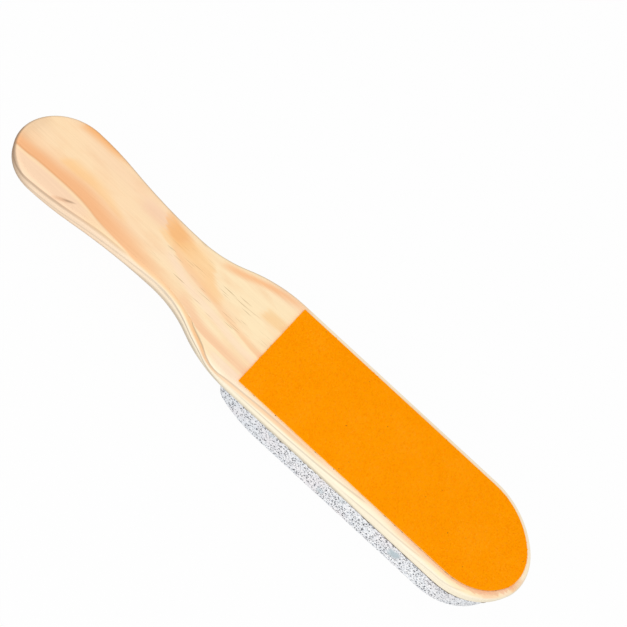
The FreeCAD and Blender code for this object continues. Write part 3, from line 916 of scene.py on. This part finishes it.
def grainGrowth():
    tree, entry, identifiers = newGrowth(
        "sprinkledGrain", "Grain Spacing", "Grain Size", "Grain Height", "Seed")
    spacing, seed = entry["Grain Spacing"], entry["Seed"]
    normal = addNode(tree, "GeometryNodeInputNormal")
    normalZ = addNode(tree, "SeparateXYZ", {0: normal}).outputs[2]
    top = addNode(tree, "FunctionNodeCompare", {0: normalZ, 1: orange["topFacing"]}, operation="GREATER_THAN")
    perSquare = addNode(tree, "Math", {0: spacing, 1: -2.0}, operation="POWER")
    apart = addNode(tree, "Math", {0: spacing, 1: orange["apart"]}, operation="MULTIPLY")
    dense = addNode(tree, "Math", {0: perSquare, 1: orange["tries"]}, operation="MULTIPLY")
    points = addNode(
        tree, "GeometryNodeDistributePointsOnFaces",
        {"Mesh": entry["Geometry"], "Selection": top, "Distance Min": apart, "Density Max": dense,
         "Seed": seed},
        distribute_method="POISSON")
    grain = addNode(
        tree, "GeometryNodeMeshCone",
        {"Vertices": orange["grainSides"], "Radius Top": 0.0, "Radius Bottom": entry["Grain Size"],
         "Depth": entry["Grain Height"]},
        fill_type="NGON")
    turn, size = [
        addNode(
            tree, "FunctionNodeRandomValue", {(0, 1): orange[name], "Seed": seed}, data_type="FLOAT_VECTOR")
        for name in ("grainTurn", "grainScale")]
    grains = addNode(tree, "GeometryNodeInstanceOnPoints", {
        "Points": points, "Instance": grain, "Rotation": turn, "Scale": size})
    tone = addNode(
        tree, "FunctionNodeRandomValue", {(2, 3): orange["grainTone"], "Seed": seed},
        data_type="FLOAT").outputs[1]
    toned = addNode(
        tree, "GeometryNodeStoreNamedAttribute", {"Geometry": grains, "Name": "grainTone", "Value": tone},
        data_type="FLOAT", domain="INSTANCE")
    joined = addNode(tree, "GeometryNodeJoinGeometry", {0: [entry["Geometry"], toned]})
    endGrowth(tree, joined, entry["Material"])
    return tree, identifiers


coat = plainCopy("grit_coat", "grit_layer")
grow(coat, grainGrowth(), orange, makeGrit())
fit(coat, "grit_coat")
dress("sheet_backing", makePaper())
print("orange sheet dressed")

# floor and light: a white tent, with a soft panel low on the near side
studio = {
    "floor": "#dcdcdc",
    "floorWhite": 0.97,
    "floorReach": 20.0,
    "floorDrop": 0.1 * mm,
    "sky": 0.86,
    "panelPlace": (-0.15, -0.75, 0.42),
    "panelSize": 0.8,
    "panelPower": 3.0,
}


def shownShare(tree):  # 1 where the camera, a reflection or glass looks, 0 for light on the object
    path = addNode(tree, "LightPath").outputs
    seen = path["Is Camera Ray"]
    for kind in ("Is Glossy Ray", "Is Transmission Ray"):
        seen = addNode(tree, "Math", {0: seen, 1: path[kind]}, operation="MAXIMUM")
    return seen


def makeFloor():
    material, tree, shader = newMaterial("paleFloor")
    tree.nodes.remove(shader)
    share = addNode(tree, "Math", {0: shownShare(tree), 1: studio["floorWhite"]}, operation="MULTIPLY")
    matt = addNode(tree, "BsdfDiffuse", {"Color": linear(studio["floor"])})
    white = addNode(tree, "Emission", {"Strength": 1.0})
    mixed = addNode(tree, "MixShader", {0: share, 1: matt, 2: white})
    setInputs(tree, tree.nodes["Material Output"], {"Surface": mixed})
    return material


floorMesh = bpy.data.meshes.new("floor")
reach = studio["floorReach"]
corners = [(-reach, -reach, 0), (reach, -reach, 0), (reach, reach, 0), (-reach, reach, 0)]
floorMesh.from_pydata(corners, [], [(0, 1, 2, 3)])
floorMesh.materials.append(makeFloor())
floor = bpy.data.objects.new("floor", floorMesh)
floor.location.z = -studio["floorDrop"]
scene.collection.objects.link(floor)

world = bpy.data.worlds.new("softTent")
world.use_nodes = True
scene.world = world
tree = world.node_tree
level = addNode(tree, "MapRange", {"Value": shownShare(tree), "To Min": studio["sky"]})
setInputs(tree, tree.nodes["Background"], {"Color": (1, 1, 1, 1), "Strength": level})

panelData = bpy.data.lights.new("nearPanel", "AREA")
panelData.size = studio["panelSize"]
panelData.energy = studio["panelPower"]
panel = bpy.data.objects.new("nearPanel", panelData)
panel.location = studio["panelPlace"]
panel.rotation_euler = (-Vector(studio["panelPlace"])).to_track_quat("-Z", "Y").to_euler()
scene.collection.objects.link(panel)
print("floor and light set")
